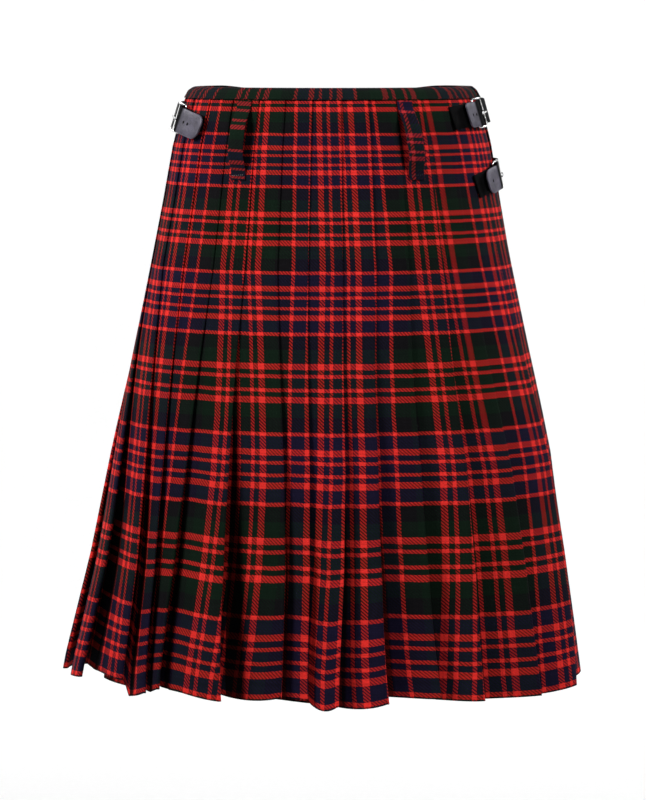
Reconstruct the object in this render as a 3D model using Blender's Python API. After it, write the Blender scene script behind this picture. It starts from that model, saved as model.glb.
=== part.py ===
"""A pleated scottish kilt in its worn shape, hollow, with nobody in it.

Metres. +Z is up, the pleated back faces -Y and +X is the wearer's right. The origin is on the
axis of the hollow at the level of the waist straps. Angles go round from the centre back,
positive towards the wearer's right. Offsets are outward from the body line.
"""

import math

import bpy
import numpy as np

MM = 0.001
WALL = 1.0 * MM
LEATHER = 2.0 * MM
TAB = 1.2 * MM
ROD = 1.1 * MM
SEAM = 0.3 * MM
TOP, FELL, HEM = 27.0 * MM, -150.0 * MM, -582.0 * MM
PLEAT_CLOTH = 184.0 * MM
LAST_DEPTH = 60.0 * MM
PITCH_TOP = 1.65 * MM
PITCH_LOW, PITCH_HIGH = 2.4 * MM, 4.6 * MM
PITCH_SHARE = 0.085
JOIN_FOLD = 8
APRON_STEPS, UNDER_STEPS = 17, 12
JOIN_BACK = 3.0 * MM
APRON_RISE = 5.2 * MM

# Height z, half width, half depth of the back, half depth of the front, sideways shift, in mm.
BODY = np.array((
    (31.0, 141.5, 101.5, 96.0, 0.0),
    (27.0, 146.0, 106.0, 100.5, 0.0),
    (19.0, 150.5, 111.0, 105.0, 0.0),
    (3.0, 155.0, 114.0, 108.0, 0.0),
    (-30.0, 163.5, 117.0, 111.0, 0.0),
    (-85.0, 173.5, 123.0, 116.0, 0.0),
    (-150.0, 186.3, 130.0, 121.0, 0.0),
    (-245.0, 206.5, 138.0, 127.0, 0.0),
    (-350.0, 229.0, 147.0, 132.0, 1.0),
    (-455.0, 247.0, 152.0, 136.0, -1.5),
    (-561.0, 265.5, 157.5, 139.5, -7.5),
    (-600.0, 271.5, 160.0, 141.0, -8.5),
)) * MM

# Each fold: its angle at the waist, at the end of the stitching, halfway down and at the hem,
# in degrees; how far it swings out at the hem, in mm; and how much lower the cloth that ends at
# it hangs there, in mm, where it comes from under the fold before, in its middle and at the fold.
FOLDS = np.array((
    (-112.0, -116.0, -114.0, -114.0, 2.0, 0.0, 0.0, 0.0),
    (-99.5, -101.0, -93.0, -89.0, 5.0, 0.0, -2.0, -4.0),
    (-86.0, -86.5, -69.5, -65.5, 11.0, 1.0, -4.0, -8.0),
    (-69.0, -68.0, -55.0, -48.5, 13.0, -13.0, -14.0, -13.0),
    (-55.0, -54.0, -48.3, -41.6, 8.0, 7.0, 4.0, -1.0),
    (-41.5, -40.3, -40.3, -38.2, 8.0, 0.0, -3.0, -6.0),
    (-29.2, -28.2, -26.6, -21.9, 24.0, -5.0, -3.0, -1.0),
    (-18.2, -17.2, -12.2, -9.3, 8.0, 0.0, 1.5, -3.0),
    (-7.6, -7.4, -5.8, -3.5, 5.0, -1.0, -1.0, -1.0),
    (3.4, 3.3, 2.9, 2.9, 12.0, 1.0, 10.0, 5.0),
    (14.0, 13.7, 11.2, 13.5, 12.0, 8.0, 9.0, 3.0),
    (25.2, 24.7, 22.5, 25.7, 7.0, -1.0, 0.0, 1.0),
    (38.0, 37.2, 35.4, 36.1, 10.0, 4.0, 5.0, 5.0),
    (50.5, 49.2, 51.3, 53.4, 9.0, 6.5, 6.0, 6.0),
    (67.0, 67.5, 76.0, 71.0, 8.0, 9.0, 7.0, 4.0),
    (85.0, 88.0, 97.0, 97.0, 4.0, 2.0, 1.0, 0.0),
    (101.0, 104.0, 117.0, 119.0, 0.0, 0.0, 0.0, 0.0),
))
FRONT_DIP, DIP_BELOW = 5.0 * MM, -30.0 * MM
# The free edges of the outer and the under apron at the top and at the hem, in degrees.
OUTER_EDGE = (-262.0, -248.0)
UNDER_EDGE = (198.0, 205.0)

LEVELS = np.array((27.0, 19.0, 3.0, -30.0, -85.0, -150.0, -210.0, -280.0, -355.0, -435.0, -515.0,
                   -582.0)) * MM

# Each strap: side, angles of its tip, of the buckle's two bars and of its sewn end, the height
# of its line in mm at the buckle, how far that falls per mm towards the tip, and how far its
# tab reaches past the buckle in mm.
STRAPS = {
    "left": (-1.0, 54.3, 72.0, 79.0, 107.0, -2.2, 0.22, 34.0),
    "right": (1.0, 60.6, 68.5, 75.0, 118.0, 3.9, 0.11, 38.0),
    "hip": (1.0, 66.0, 78.0, 84.0, 122.0, -61.0, 0.22, 42.0),
}
STRAP_WIDE = 25.0 * MM
# Past the buckle a strap turns level over this length.
STRAP_LEVELS = 14.0 * MM
# Each belt loop: its angle at the top and at the bottom end.
LOOPS = {"left": (-35.3, -33.7), "right": (29.0, 30.8)}
LOOP_WIDE, LOOP_TOP, LOOP_LOW, LOOP_OUT = 16.0 * MM, 18.3 * MM, -61.0 * MM, 9.0 * MM
BAND_LOW, BAND_CEILING = 19.5 * MM, 27.6 * MM


def smooth(x):
    x = np.clip(x, 0.0, 1.0)
    return x * x * (3.0 - 2.0 * x)


def fall(z):
    """How far down from the end of the stitching to the hem, 0 to 1."""
    return float(np.clip((FELL - z) / (FELL - HEM), 0.0, 1.1))


def body(z):
    return [np.interp(-z, -BODY[:, 0], BODY[:, i]) for i in range(1, 5)]


def place(angle, out, z):
    """The point this far outside the body line."""
    wide, back, front, shift = body(z)
    t = math.radians(angle)
    deep = back if math.cos(t) > 0 else front
    nx, ny = deep * math.sin(t), -wide * math.cos(t)
    size = math.hypot(nx, ny)
    return (shift + wide * math.sin(t) + out * nx / size, -deep * math.cos(t) + out * ny / size, z)


def dipped(angle, out, z, nominal):
    """The same point, lowered near the top edge, where the waist is lower at the front."""
    front = float(smooth((-math.cos(math.radians(angle)) - 0.55) / 0.4))
    share = float(np.clip((nominal - DIP_BELOW) / (TOP - DIP_BELOW), 0.0, 1.0))
    x, y, z = place(angle, out, z)
    return x, y, z - FRONT_DIP * front * share


class Level:
    """Everything about the cloth at one height."""

    def __init__(self, z):
        self.z, self.t = z, fall(z)
        waist, fell, middle, hem = FOLDS[:, 0], FOLDS[:, 1], FOLDS[:, 2], FOLDS[:, 3]
        if z > FELL:
            self.fold = waist + (fell - waist) * (TOP - z) / (TOP - FELL)
        else:
            t = min(self.t, 1.0)
            self.fold = (fell * (1 - t) * (1 - 2 * t) + middle * 4 * t * (1 - t)
                         + hem * t * (2 * t - 1))
        self.lift = FOLDS[:, 4] * MM * smooth(self.t) ** 1.2
        self.drop = FOLDS[:, 5:8] * MM * self.t ** 3
        wide, back, front, _ = body(z)
        self.angles = np.arange(-290.0, 240.5, 0.5)
        t = np.radians(self.angles)
        deep = np.where(np.cos(t) > 0, back, front)
        rate = np.hypot(wide * np.cos(t), deep * np.sin(t)) * math.radians(0.5)
        self.arcs = np.concatenate(((0.0,), np.cumsum((rate[1:] + rate[:-1]) / 2)))
        self.at = self.arc(self.fold)
        reveal = np.diff(self.at)
        mean = (np.append(reveal, reveal[-1]) + np.insert(reveal, 0, reveal[0])) / 2
        low = np.clip(PITCH_SHARE * mean, PITCH_LOW, PITCH_HIGH)
        self.pitches = PITCH_TOP + (low - PITCH_TOP) * smooth(self.t) ** 0.8
        self.depth = np.append(PLEAT_CLOTH - reveal, 2 * LAST_DEPTH) / 2
        self.slopes = self.limited_slopes(self.at, np.arange(len(self.at), dtype=float))

    @staticmethod
    def limited_slopes(x, y):
        rise = np.diff(y) / np.diff(x)
        slopes = np.zeros(len(x))
        slopes[1:-1] = 2 * rise[1:] * rise[:-1] / (rise[1:] + rise[:-1])
        return slopes

    def arc(self, angle):
        return np.interp(angle, self.angles, self.arcs)

    def angle(self, arc):
        return np.interp(arc, self.arcs, self.angles)

    def count(self, arc):
        """How many folds lie before this place, running smoothly from one fold to the next."""
        if arc <= self.at[0]:
            return 0.0
        if arc >= self.at[-1]:
            return float(len(self.at) - 1)
        i = int(np.searchsorted(self.at, arc, side="right") - 1)
        h = self.at[i + 1] - self.at[i]
        t = (arc - self.at[i]) / h
        return (i + t * t * (3 - 2 * t) + h * self.slopes[i] * t * (1 - t) ** 2
                - h * self.slopes[i + 1] * t * t * (1 - t))

    def pitch(self, arc):
        return float(np.interp(arc, self.at, self.pitches))

    def out(self, arc, sheet):
        """The height of a layer of cloth: layer 2i ends at fold i, layer 2i + 1 runs back."""
        value = -self.pitch(arc) * (sheet - 2 * self.count(arc))
        i = sheet // 2
        if 0 < i < len(self.at) and arc > self.at[i - 1]:
            share = (arc - self.at[i - 1]) / (self.at[i] - self.at[i - 1])
            value += self.lift[i] * float(smooth(share))
        return value

    def surface(self, arc):
        """The body side of whatever lies on the pleats: the outermost layer's middle."""
        folds = self.count(arc)
        return self.out(arc, 2 * max(0, math.ceil(folds)))

    def low(self, arc, sheet):
        """How much lower this layer hangs. Out of sight it hangs no lower than what covers it."""
        i = (sheet - 1) // 2
        ends = self.drop[i, 2]
        away = float(np.clip((self.at[i] - arc) / self.depth[i], 0.0, 1.0))
        if i + 1 == len(self.at):
            return ends * (1.0 - away)
        starts, middle, goal = self.drop[i + 1]
        if arc > self.at[i] and sheet % 2 == 0:
            t = min(1.0, (arc - self.at[i]) / (self.at[i + 1] - self.at[i]))
            return (starts * (1 - t) * (1 - 2 * t) + middle * 4 * t * (1 - t)
                    + goal * t * (2 * t - 1))
        near, share = (ends, away) if sheet % 2 else (starts, min(1.0, 5.0 * away))
        return near + (min(ends, starts) - 2.0 * MM * self.t ** 3 - near) * share

    def point(self, arc, out, low=0.0):
        return dipped(float(self.angle(arc)), out, self.z - low, self.z)


def apron_angles(level):
    edge = np.interp(-level.z, (-TOP, -HEM), OUTER_EDGE)
    return np.linspace(edge, level.fold[0], APRON_STEPS + 1)


def apron_out(angle):
    return APRON_RISE * float(smooth((-205.0 - angle) / 42.0))


def under_angles(level):
    edge = np.interp(-level.z, (-TOP, -HEM), UNDER_EDGE)
    return np.linspace(level.fold[-1], edge, UNDER_STEPS + 1)[1:]


def under_out(level, angle):
    start = level.out(level.at[-1], 2 * len(level.at))
    inner = -(8.0 + 5.0 * level.t) * MM
    return start + (inner - start) * float(smooth((angle - level.fold[-1]) / 32.0))


def apron_line(level):
    """The outer apron, from its free edge on the right hip round the front to its fold."""
    return [(float(level.arc(angle)), apron_out(angle), 0.0) for angle in apron_angles(level)]


def under_line(level):
    """The under apron, from below the last fold round the front to its free edge."""
    return [(float(level.arc(angle)), under_out(level, angle), 0.0)
            for angle in under_angles(level)]


def pleat_lines(level, first, last, over, under):
    """The layers from fold `first` on: each fold, the layer back, the inner fold, the layer out."""
    points = []
    for i in range(first, last):
        arc, half = level.at[i], level.pitch(level.at[i]) / 2
        points.append((arc + half, level.out(arc, 2 * i) - half, level.low(arc, 2 * i + 1)))
        inner = arc - level.depth[i]
        for a in np.linspace(arc, inner, under + 1):
            points.append((a, level.out(a, 2 * i + 1), level.low(a, 2 * i + 1)))
        half = level.pitch(inner) / 2
        points.append((inner - half, level.out(inner, 2 * i + 1) - half,
                       level.low(inner, 2 * i + 1)))
        end = level.at[i + 1] if i + 1 < len(level.at) else arc
        for a in np.linspace(inner, end, over + 1):
            points.append((a, level.out(a, 2 * i + 2), level.low(a, 2 * i + 2)))
    return points


def outer_length(level, over=6, under=4):
    i = JOIN_FOLD
    points = apron_line(level) + pleat_lines(level, 0, i, over, under)
    arc, half = level.at[i], level.pitch(level.at[i]) / 2
    points.append((arc + half, level.out(arc, 2 * i) - half, level.low(arc, 2 * i + 1)))
    for a in np.linspace(arc, arc - level.depth[i] + JOIN_BACK, under + 1):
        points.append((a, level.out(a, 2 * i + 1), level.low(a, 2 * i + 1)))
    return points


def under_length(level, over=6, under=4):
    i = JOIN_FOLD
    start = level.at[i] - level.depth[i] + JOIN_BACK
    points = [(a, level.out(a, 2 * i + 2), level.low(a, 2 * i + 2))
              for a in np.linspace(start, level.at[i + 1], over + 1)]
    return points + pleat_lines(level, i + 1, len(level.at), over, under) + under_line(level)


def sided(points, wall):
    """Both faces of a line of cloth, mitred at its corners."""
    points = np.asarray(points)
    ahead = np.diff(points[:, :2], axis=0)
    ahead /= np.linalg.norm(ahead, axis=1)[:, None]
    before = np.vstack((ahead[:1], ahead))
    after = np.vstack((ahead, ahead[-1:]))
    side = np.stack((before[:, 1] + after[:, 1], -before[:, 0] - after[:, 0]), axis=1)
    side /= np.linalg.norm(side, axis=1)[:, None]
    lean = np.maximum(side[:, 0] * after[:, 1] - side[:, 1] * after[:, 0], 0.5)
    step = np.zeros_like(points)
    step[:, :2] = side * (wall / 2 / lean)[:, None]
    return points + step, points - step


def strip(name, outer, inner, material):
    """A closed solid between two grids of points, stations by rows."""
    outer, inner = np.asarray(outer), np.asarray(inner)
    n, k, _ = outer.shape
    index = np.arange(n * k).reshape(n, k)
    other = index + n * k
    faces = []
    for i in range(n - 1):
        for j in range(k - 1):
            faces.append((index[i, j], index[i + 1, j], index[i + 1, j + 1], index[i, j + 1]))
            faces.append((other[i, j], other[i, j + 1], other[i + 1, j + 1], other[i + 1, j]))
        faces.append((index[i, 0], other[i, 0], other[i + 1, 0], index[i + 1, 0]))
        faces.append((index[i, -1], index[i + 1, -1], other[i + 1, -1], other[i, -1]))
    for j in range(k - 1):
        faces.append((index[0, j], index[0, j + 1], other[0, j + 1], other[0, j]))
        faces.append((index[-1, j], other[-1, j], other[-1, j + 1], index[-1, j + 1]))
    points = np.concatenate((outer.reshape(-1, 3), inner.reshape(-1, 3)))
    volume = 0.0
    for face in faces:
        a, b, c, d = points[list(face)]
        volume += np.dot(a, np.cross(b, c)) + np.dot(a, np.cross(c, d))
    if volume < 0:
        faces = [face[::-1] for face in faces]
    mesh = bpy.data.meshes.new(name)
    mesh.from_pydata(points.tolist(), [], [[int(v) for v in face] for face in faces])
    return keep(name, mesh, material)


def keep(name, data, material):
    obj = bpy.data.objects.new(name, data)
    bpy.data.collections["scottish_kilt"].objects.link(obj)
    slot = bpy.data.materials.new(name)
    slot.use_nodes = True
    shader = slot.node_tree.nodes["Principled BSDF"]
    shader.inputs["Base Color"].default_value = material[0]
    shader.inputs["Metallic"].default_value = material[1]
    shader.inputs["Roughness"].default_value = material[2]
    data.materials.append(slot)
    return obj


def cloth(name, line, material):
    outer, inner = [], []
    for z in LEVELS:
        level = Level(z)
        left, right = sided([level.point(*spot) for spot in line(level)], WALL)
        outer.append(left)
        inner.append(right)
    return strip(name, np.swapaxes(outer, 0, 1), np.swapaxes(inner, 0, 1), material)


def thickest(level):
    """How far the innermost layer of the pleats lies inside the body line."""
    return -min(level.out(level.at[i] - level.depth[i], 2 * i + 2) for i in range(len(level.at)))


def band(name, material):
    """The folded strip over the top edge, following the cloth from one free edge to the other."""
    level = Level(BAND_LOW)
    stack = thickest(Level(TOP))
    stations = []
    for n, angle in enumerate(apron_angles(level)):
        if angle < -156.0:
            stations.append((angle - (0.3 if n == 0 else 0.0), apron_out(angle), apron_out(angle)))
    for angle in np.linspace(-150.5, level.fold[-1] + 1.5, 44):
        stations.append((angle, 0.15 * MM, -stack))
    angles = under_angles(level)
    for angle in angles:
        out = under_out(level, angle)
        stations.append((angle + (0.3 if angle == angles[-1] else 0.0), out, out))
    outer, inner = [], []
    near, far = WALL / 2 + 1.3 * SEAM, WALL / 2 + 1.3 * SEAM + WALL
    for angle, high, low in stations:
        shell = ((high + far, BAND_LOW), (high + far, 26.0 * MM), (high + near - 0.4 * MM, 30.0 * MM),
                 ((high + low) / 2, 31.0 * MM), (low - near + 0.4 * MM, 30.0 * MM),
                 (low - far, 26.0 * MM), (low - far, BAND_LOW))
        lining = ((high + near, BAND_LOW), (high + near, 25.0 * MM), (high + near, BAND_CEILING),
                  ((high + low) / 2, BAND_CEILING + 0.4 * MM), (low - near, BAND_CEILING),
                  (low - near, 25.0 * MM), (low - near, BAND_LOW))
        outer.append([dipped(angle, out, z, z) for out, z in shell])
        inner.append([dipped(angle, out, z, z) for out, z in lining])
    return strip(name, outer, inner, material)


def belt_loop(name, angles, material):
    outer, inner = [], []
    for share in (0.0, 0.06, 0.12, 0.2, 0.32, 0.5, 0.68, 0.8, 0.88, 0.94, 1.0):
        z = LOOP_TOP + (LOOP_LOW - LOOP_TOP) * share
        level = Level(z)
        middle = angles[0] + (angles[1] - angles[0]) * share
        rise = LOOP_OUT * float(smooth(min(share, 1 - share) / 0.3 - 0.2))
        rows = []
        for across in (-0.5, -0.17, 0.17, 0.5):
            arc = float(level.arc(middle)) + across * LOOP_WIDE
            seat = level.surface(arc) + WALL / 2 + SEAM
            rows.append((float(level.angle(arc)), seat + rise, z))
        inner.append([place(*row) for row in rows])
        outer.append([place(a, out + 1.8 * MM, h) for a, out, h in rows])
    return strip(name, outer, inner, material)


def strap_frame(key):
    """Where a strap runs. It is flat across its width, and so lies on the body's highest line."""
    side, tip, bar, far, end, height, slope, _ = STRAPS[key]
    level = Level(height * MM)
    arcs = [float(level.arc(side * a)) for a in (tip, bar, far, end)]
    steep = side * (arcs[2] - arcs[1]) + 3.0 * MM

    def line(arc, out, up):
        past = side * (arc - arcs[1])
        turn = float(np.clip((past - steep) / STRAP_LEVELS, 0.0, 1.0))
        lean = slope * (1.0 - turn)
        rise = slope * (min(past, steep) + STRAP_LEVELS * (turn - turn * turn / 2))
        high = STRAP_WIDE / math.hypot(1.0, lean)
        spots = []
        for share in (-0.5, -0.25, 0.0, 0.25, 0.5):
            across = Level(height * MM + rise + share * high)
            angle = float(across.angle(float(across.arc(side * bar)) + arc - arcs[1]
                                       - side * lean * share * high))
            spots.append((angle, across.z, np.array(place(angle, 0.0, across.z))))
        low, top = spots[0][2], spots[-1][2]
        normal = np.array(place(spots[2][0], 1.0, spots[2][1])) - spots[2][2]
        hump = max(np.dot(spot - low - (top - low) * (0.25 * n), normal)
                   for n, (_, _, spot) in enumerate(spots))
        point = (low + top) / 2 + (top - low) * (up / STRAP_WIDE) + normal * (out + hump)
        return tuple(point)

    return side, arcs, line


def strap(key, material):
    side, arcs, line = strap_frame(key)
    tip, bar, far, end = arcs
    reach = abs(tip - bar)
    base = WALL / 2 + 1.8 * SEAM + LEATHER / 2
    seat = base + (APRON_RISE if key != "left" else 0.0)
    level = Level(STRAPS[key][5] * MM)
    free = 360.0 + float(np.interp(-level.z, (-TOP, -HEM), OUTER_EDGE))
    edge = float(level.arc(free)) - 4.0 * MM if key != "left" else far - 22.0 * MM
    climb = abs(edge - far)
    rows = [(tip + side * x * MM, 5.5 * MM + 0.02 * (reach - x * MM), w)
            for x, w in ((0.0, 0.36), (0.9, 0.62), (2.4, 0.82), (5.0, 0.96), (8.0, 1.0))]
    rows += [(bar - side * 7.0 * MM, 6.8 * MM, 1.0), (bar - side * 3.0 * MM, 8.0 * MM, 1.0),
             (bar + side * 1.0 * MM, 8.2 * MM, 1.0), (bar + side * 6.0 * MM, 6.6 * MM, 1.0),
             (far - side * 4.0 * MM, 4.7 * MM, 1.0), (far, 4.1 * MM, 1.0),
             (far + side * 0.3 * climb, 4.1 * MM + 0.25 * (seat - 4.1 * MM), 1.0),
             (far + side * 0.65 * climb, 4.1 * MM + 0.8 * (seat - 4.1 * MM), 1.0)]
    rows += [(a, seat, 1.0) for a in np.linspace(edge, end, 7)]
    outer, inner = [], []
    for arc, out, share in rows:
        ups = [STRAP_WIDE / 2 * share * u for u in (1.0, -1.0)]
        outer.append([line(arc, out + LEATHER / 2, up) for up in ups])
        inner.append([line(arc, out - LEATHER / 2, up) for up in ups])
    return strip("strap_" + key, outer, inner, material)


def tab(key, material):
    """The leather tab: flat on the cloth, round the buckle's near bar and back over itself."""
    side, arcs, line = strap_frame(key)
    bar, reach = arcs[1], STRAPS[key][7]
    low = WALL / 2 + 1.6 * SEAM + TAB / 2
    centre = low + TAB / 2 + 1.4 * SEAM + ROD
    round_bar = ROD + 1.4 * SEAM + TAB / 2
    path = [(bar - side * x * MM, low) for x in (*np.linspace(reach, 12.0, 5), 6.0, 2.0)]
    for turn in (-75.0, -40.0, 0.0, 40.0, 80.0):
        a = math.radians(turn)
        path.append((bar + side * round_bar * math.cos(a), centre + round_bar * math.sin(a)))
    path += [(bar - side * 2.0 * MM, centre + round_bar - 0.2 * MM), (bar - side * 6.0 * MM, 2.9 * MM),
             (bar - side * 12.0 * MM, 2.9 * MM)]
    path = np.array(path)
    ahead = np.diff(path, axis=0)
    ahead /= np.linalg.norm(ahead, axis=1)[:, None]
    both = np.vstack((ahead[:1], ahead)) + np.vstack((ahead, ahead[-1:]))
    both /= np.linalg.norm(both, axis=1)[:, None]
    outer, inner = [], []
    for (arc, out), (da, do) in zip(path, both):
        ups = [STRAP_WIDE / 2 * 0.94 * u for u in (1.0, -1.0)]
        outer.append([line(arc - do * TAB / 2, out + da * TAB / 2, up) for up in ups])
        inner.append([line(arc + do * TAB / 2, out - da * TAB / 2, up) for up in ups])
    return strip("tab_" + key, outer, inner, material)


def rod(name, points, cyclic, radius, material):
    curve = bpy.data.curves.new(name, "CURVE")
    curve.dimensions = "3D"
    curve.bevel_depth = radius
    curve.bevel_resolution = 2
    curve.use_fill_caps = True
    spline = curve.splines.new("POLY")
    spline.points.add(len(points) - 1)
    for slot, point in zip(spline.points, points):
        slot.co = (*point, 1.0)
    spline.use_cyclic_u = cyclic
    return keep(name, curve, material)


def buckle(key, material):
    side, arcs, line = strap_frame(key)
    _, bar, far, _ = arcs
    half = STRAP_WIDE / 2 + 0.6 * MM + ROD
    near_out = WALL / 2 + 3.0 * SEAM + TAB + ROD
    far_out = 4.1 * MM + LEATHER / 2 + SEAM + ROD
    path = []
    for arc, out, up in ((bar, near_out, 1), (far, far_out, 1), (far, far_out, -1),
                         (bar, near_out, -1)):
        path.append((arc, out, up))
    points = []
    for n, (arc, out, up) in enumerate(path):
        before, after = path[n - 1], path[(n + 1) % 4]
        for other in (before, after):
            gap = math.hypot(other[0] - arc, (other[2] - up) * half)
            t = 2.2 * MM / gap
            points.append(line(arc + (other[0] - arc) * t, out + (other[1] - out) * t,
                               half * (up + (other[2] - up) * t)))
        points.insert(-1, line(arc + 0.3 * 2.2 * MM * np.sign(before[0] + after[0] - 2 * arc),
                               out, half * up - 0.3 * 2.2 * MM * up))
    rod("buckle_" + key, points, True, ROD, material)
    top = 8.2 * MM + LEATHER / 2 + SEAM + 0.9 * MM
    over = far_out + ROD + SEAM + 0.9 * MM
    rod("prong_" + key, [line(bar + side * 1.0 * MM, top, 0.0), line(bar + side * 6.0 * MM, top, 0.0),
                         line(far + side * 1.8 * MM, over, 0.0)], False, 0.9 * MM, material)


TARTAN = ((0.03, 0.08, 0.05, 1.0), 0.0, 0.9)
BLACK = ((0.012, 0.012, 0.013, 1.0), 0.0, 0.45)
STEEL = ((0.75, 0.76, 0.78, 1.0), 1.0, 0.22)

for old in list(bpy.data.objects):
    bpy.data.objects.remove(old)
bpy.context.scene.collection.children.link(bpy.data.collections.new("scottish_kilt"))

cloth("length_outer", outer_length, TARTAN)
cloth("length_under", under_length, TARTAN)
band("waistband", TARTAN)
for key, angles in LOOPS.items():
    belt_loop("belt_loop_" + key, angles, TARTAN)
for key in STRAPS:
    strap(key, BLACK)
    tab(key, BLACK)
    buckle(key, STEEL)
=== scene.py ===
"""A pleated tartan kilt in its worn shape, hollow, seen from the back.

The CAD model is the frame. The cloth is made again here from the same sizes, with rounder folds
and the tartan; leather and metal keep their place. Metres, +Z up, back towards -Y.

Angles go round from the centre back, positive towards the wearer's right. An arc is the length
along the body line at one height, an out is how far outside that line a place lies, and a low is
how much lower the cloth hangs there. Layer 2i of the cloth ends at fold i, and layer 2i + 1 runs
back from it under the pleat.
"""

import math

import bpy
import numpy as np
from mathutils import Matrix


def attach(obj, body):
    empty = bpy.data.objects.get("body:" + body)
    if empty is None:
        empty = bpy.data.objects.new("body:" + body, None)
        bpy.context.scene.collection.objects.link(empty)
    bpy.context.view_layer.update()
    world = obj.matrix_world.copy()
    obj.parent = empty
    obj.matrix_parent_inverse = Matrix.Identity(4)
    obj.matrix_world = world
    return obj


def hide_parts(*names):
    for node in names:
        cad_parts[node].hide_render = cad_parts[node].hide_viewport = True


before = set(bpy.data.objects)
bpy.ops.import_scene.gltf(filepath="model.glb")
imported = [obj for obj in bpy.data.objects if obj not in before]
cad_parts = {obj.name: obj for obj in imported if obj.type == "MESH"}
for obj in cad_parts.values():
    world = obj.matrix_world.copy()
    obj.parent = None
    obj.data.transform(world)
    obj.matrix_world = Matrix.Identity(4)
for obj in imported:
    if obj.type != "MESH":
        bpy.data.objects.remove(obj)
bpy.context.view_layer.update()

MM = 0.001
# Thickness of cloth, strap and tab, radius of a buckle's frame and prong, gap between pieces.
WALL, LEATHER, TAB, ROD, PRONG, SEAM = (x * MM for x in (0.75, 2.0, 1.2, 1.1, 0.9, 0.3))
# The heights of the top edge, the end of the stitching and the hem.
TOP, FELL, HEM = 27.0 * MM, -150.0 * MM, -582.0 * MM
# The cloth in a full pleat, and how deep the last fold tucks.
PLEAT_CLOTH, LAST_DEPTH = 184.0 * MM, 60.0 * MM
# The step from layer to layer: at the top, and at the hem as a share of a pleat's width.
PITCH_TOP, PITCH_LOW, PITCH_HIGH, PITCH_SHARE = 0.95 * MM, 2.4 * MM, 4.6 * MM, 0.085
# The fold that the two lengths are joined under, and how far before its inner edge.
JOIN_FOLD, JOIN_BACK = 8, 3.0 * MM
# How much higher than what covers it cloth out of sight hangs at the hem.
HIDDEN_RISE = 2.0 * MM
# How far the outer apron rises, from which angle, over how many degrees.
APRON_RISE, APRON_FROM, APRON_OVER = 5.2 * MM, -205.0, 42.0
# How far the under apron goes in, how much more at the hem, over how many degrees.
UNDER_IN, UNDER_MORE, UNDER_OVER = 8.0 * MM, 5.0 * MM, 32.0
# Rows of points down the cloth, to below the waist and to the hem.
WAIST_ROWS, WAIST_END, HEM_ROWS = 14, -35.0 * MM, 79
# Steps across each apron. Points on the round of a fold, on the layer back from it, on the
# hidden and the seen part of the layer out, and on the last layer.
APRON_STEPS, UNDER_STEPS = 64, 46
TURN_STEPS, BACK_STEPS, INNER_STEPS, SEEN_STEPS, LAST_STEPS = 5, 7, 6, 14, 16
# A layer's tartan is set from this far behind the fold that covers it, and the painted
# shade at the foot of a fold is measured from this far past it.
SEEN_FROM, CREASE_SHADE_AWAY = 8.0 * MM, 8.0 * MM
# How far the hanging cloth sways, and the arc to a radian of its wave.
SWAY, SWAY_ARC = 0.9 * MM, 0.09
# The angles at which arcs are summed up.
ANGLE_STEP = 0.5
ANGLES = np.arange(-290.0, 240.5, ANGLE_STEP)

# Height z, half width, half depth of the back, half depth of the front, sideways shift, in mm.
BODY = np.array((
    (31, 141.5, 101.5, 96, 0),
    (27, 146, 106, 100.5, 0),
    (19, 150.5, 111, 105, 0),
    (3, 155, 114, 108, 0),
    (-30, 163.5, 117, 111, 0),
    (-85, 173.5, 123, 116, 0),
    (-150, 186.3, 130, 121, 0),
    (-245, 206.5, 138, 127, 0),
    (-350, 229, 147, 132, 1),
    (-455, 247, 152, 136, -1.5),
    (-561, 265.5, 157.5, 139.5, -7.5),
    (-600, 271.5, 160, 141, -8.5),
)) * MM

# Each fold: its angle at the waist, at the end of the stitching, halfway down and at the hem, in
# degrees; how far it swings out at the hem and how much lower the cloth that ends at it hangs
# there, in mm: where it comes from under the fold before, in its middle and at the fold.
FOLDS = np.array((
    (-112, -116, -114, -114, 2, 0, 0, 0),
    (-99.5, -101, -93, -89, 5, 0, -2, -4),
    (-86, -86.5, -69.5, -65.5, 11, 1, -4, -8),
    (-69, -68, -55, -48.5, 13, -13, -14, -13),
    (-55, -54, -48.3, -41.6, 8, 7, 4, -1),
    (-41.5, -40.3, -40.3, -38.2, 8, 0, -3, -6),
    (-29.2, -28.2, -26.6, -21.9, 24, -5, -3, -1),
    (-18.2, -17.2, -12.2, -9.3, 8, 0, 1.5, -3),
    (-7.6, -7.4, -5.8, -3.5, 5, -1, -1, -1),
    (3.4, 3.3, 2.9, 2.9, 12, 1, 10, 5),
    (14, 13.7, 11.2, 13.5, 12, 8, 9, 3),
    (25.2, 24.7, 22.5, 25.7, 7, -1, 0, 1),
    (38, 37.2, 35.4, 36.1, 10, 4, 5, 5),
    (50.5, 49.2, 51.3, 53.4, 9, 6.5, 6, 6),
    (67, 67.5, 76, 71, 8, 9, 7, 4),
    (85, 88, 97, 97, 4, 2, 1, 0),
    (101, 104, 117, 119, 0, 0, 0, 0),
))
# How much lower the top edge is at the front, over which cosines of the angle, from what height.
FRONT_DIP, DIP_FROM, DIP_OVER, DIP_BELOW = 5.0 * MM, 0.55, 0.4, -30.0 * MM
# The free edges of the outer and the under apron at the top and at the hem, in degrees.
OUTER_EDGE = (-262.0, -248.0)
UNDER_EDGE = (198.0, 205.0)

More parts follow.
